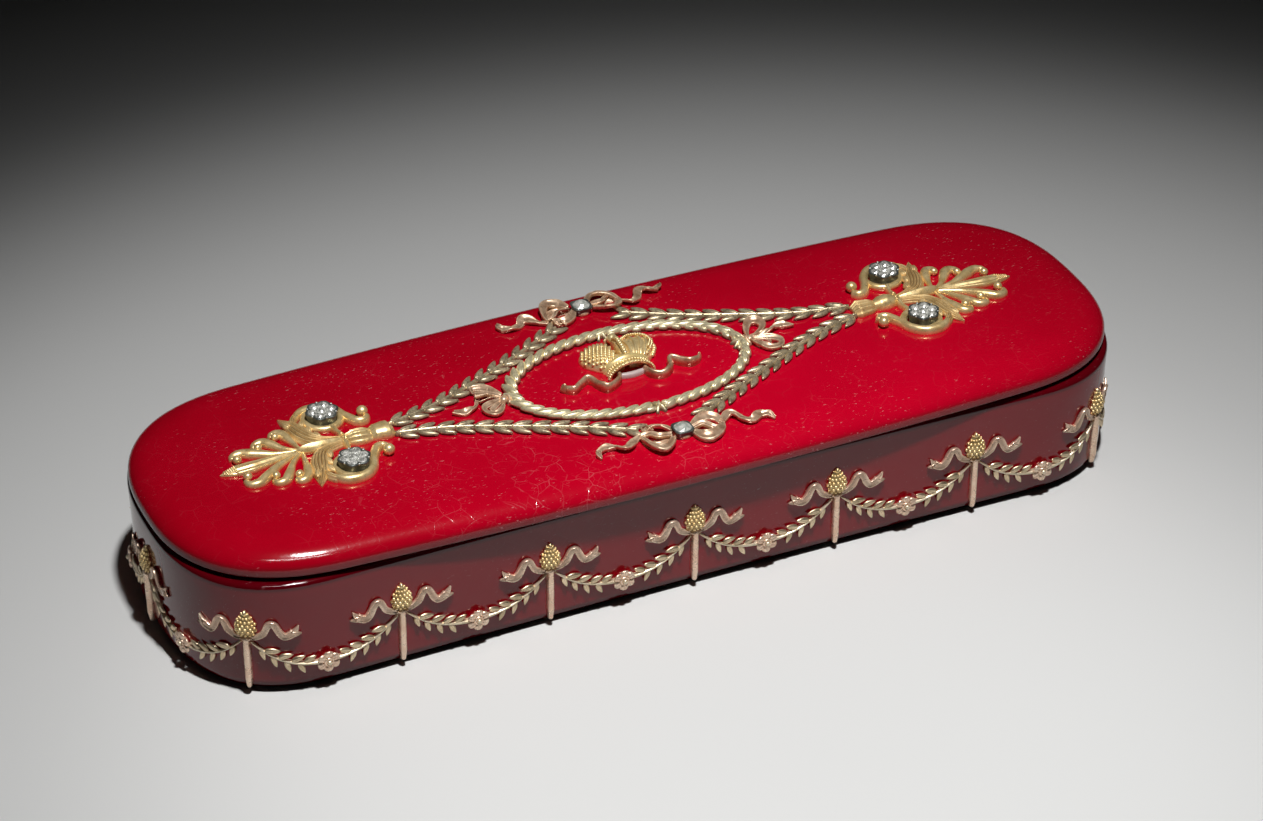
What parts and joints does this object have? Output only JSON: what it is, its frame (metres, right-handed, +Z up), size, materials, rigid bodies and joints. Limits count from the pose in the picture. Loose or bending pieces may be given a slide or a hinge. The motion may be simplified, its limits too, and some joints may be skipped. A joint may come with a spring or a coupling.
{
  "type": "lacquer box",
  "caption": "Oblong red lacquer box with a lift-off lid, gold wreath, crown, palmettes, bows, leaf garlands and set stones on the lid, and staffs, ribbons and festoons round the wall.",
  "frame": {"origin": "middle of the flat underside, on the surface that the box rests on", "axes": "+X along the box, +Y across it towards the back, +Z up through the lid"},
  "size_m": [0.2246, 0.0738, 0.0391],
  "materials": {
    "lacquer": "gloss red lacquer, finely crazed",
    "inner_lacquer": "satin red lacquer",
    "yellow_gold": "chased yellow gold",
    "green_gold": "chased green gold, dulled",
    "rose_gold": "chased rose gold",
    "silver": "darkened silver settings",
    "stones": "rose-cut clear stones over foil"
  },
  "bodies": {
    "box": {"box_body": "lacquer", "inner_sleeve": "inner_lacquer", "thyrsus_01": "rose_gold", "thyrsus_02": "rose_gold", "thyrsus_03": "rose_gold", "thyrsus_04": "rose_gold", "thyrsus_05": "rose_gold", "thyrsus_06": "rose_gold", "thyrsus_07": "rose_gold", "thyrsus_08": "rose_gold", "thyrsus_09": "rose_gold", "thyrsus_10": "rose_gold", "thyrsus_11": "rose_gold", "thyrsus_12": "rose_gold", "thyrsus_13": "rose_gold", "thyrsus_14": "rose_gold", "thyrsus_15": "rose_gold", "thyrsus_16": "rose_gold", "festoon_01": "green_gold", "festoon_02": "green_gold", "festoon_03": "green_gold", "festoon_04": "green_gold", "festoon_05": "green_gold", "festoon_06": "green_gold", "festoon_07": "green_gold", "festoon_08": "green_gold", "festoon_09": "green_gold", "festoon_10": "green_gold", "festoon_11": "green_gold", "festoon_12": "green_gold", "festoon_13": "green_gold", "festoon_14": "green_gold", "festoon_15": "green_gold", "festoon_16": "green_gold"},
    "lid": {"lid_shell": "lacquer", "laurel_wreath": "green_gold", "crown": "yellow_gold", "crown_ribbon": "rose_gold", "anthemion_right": "yellow_gold", "anthemion_left": "yellow_gold", "wreath_bow_right": "rose_gold", "wreath_bow_left": "rose_gold", "collet_front_right": "silver", "collet_back_right": "silver", "collet_front_left": "silver", "collet_back_left": "silver", "stones_front_right": "stones", "stones_back_right": "stones", "stones_front_left": "stones", "stones_back_left": "stones", "garland_front_right": "green_gold", "garland_back_right": "green_gold", "garland_front_left": "green_gold", "garland_back_left": "green_gold", "bow_front": "rose_gold", "bow_back": "rose_gold", "bow_collet_front": "silver", "bow_collet_back": "silver", "bow_stone_front": "stones", "bow_stone_back": "stones"}
  },
  "joints": [
    {"name": "lid_lift", "type": "slide", "parent": "box", "child": "lid", "axis": [0, 0, 1], "range_m": [0, 0.06]}
  ]
}
